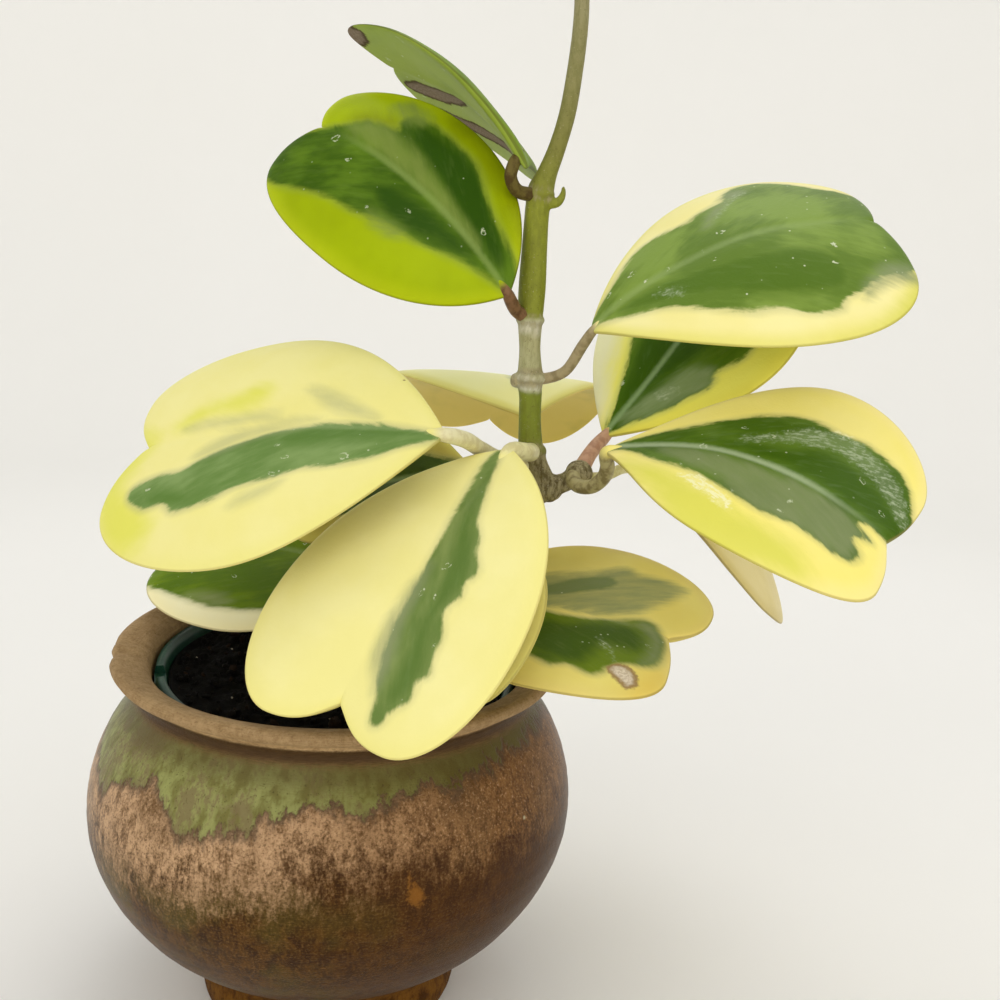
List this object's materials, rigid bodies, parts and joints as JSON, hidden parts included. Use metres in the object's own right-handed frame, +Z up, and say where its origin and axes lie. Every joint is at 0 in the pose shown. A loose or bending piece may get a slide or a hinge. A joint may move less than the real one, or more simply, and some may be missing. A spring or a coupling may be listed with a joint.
{
  "type": "potted hoya plant",
  "caption": "Variegated heart-leaved hoya vine rooted in soil in a green plastic nursery pot that stands inside a round stoneware pot with a flared lip.",
  "frame": {"origin": "middle of the pot's flat foot, on the surface it stands on", "axes": "+Z up, -Y towards the side the picture shows, +X to that view's right"},
  "size_m": [0.2201, 0.1788, 0.3213],
  "materials": {
    "stoneware_glaze": "satin",
    "green_plastic": "satin",
    "soil": "matte",
    "stem_bark": "matte",
    "top_leaf": "satin",
    "lime_leaf": "satin",
    "green_leaf": "satin",
    "green_yellow_leaf": "satin",
    "cream_leaf": "satin"
  },
  "bodies": {
    "root": {"stoneware_pot": "stoneware_glaze", "nursery_pot": "green_plastic", "potting_soil": "soil", "main_stem": "stem_bark", "leaf_top": "top_leaf", "leaf_upper_left": "lime_leaf", "leaf_upper_right": "green_leaf", "leaf_right_inner": "green_yellow_leaf", "leaf_right_lower": "green_yellow_leaf", "leaf_right_back": "cream_leaf", "leaf_left": "cream_leaf", "leaf_front": "cream_leaf", "leaf_lower_right": "green_yellow_leaf", "leaf_lower_left": "green_leaf", "leaf_inner_left": "green_yellow_leaf", "leaf_back": "cream_leaf", "leaf_young_front": "cream_leaf"}
  },
  "joints": []
}
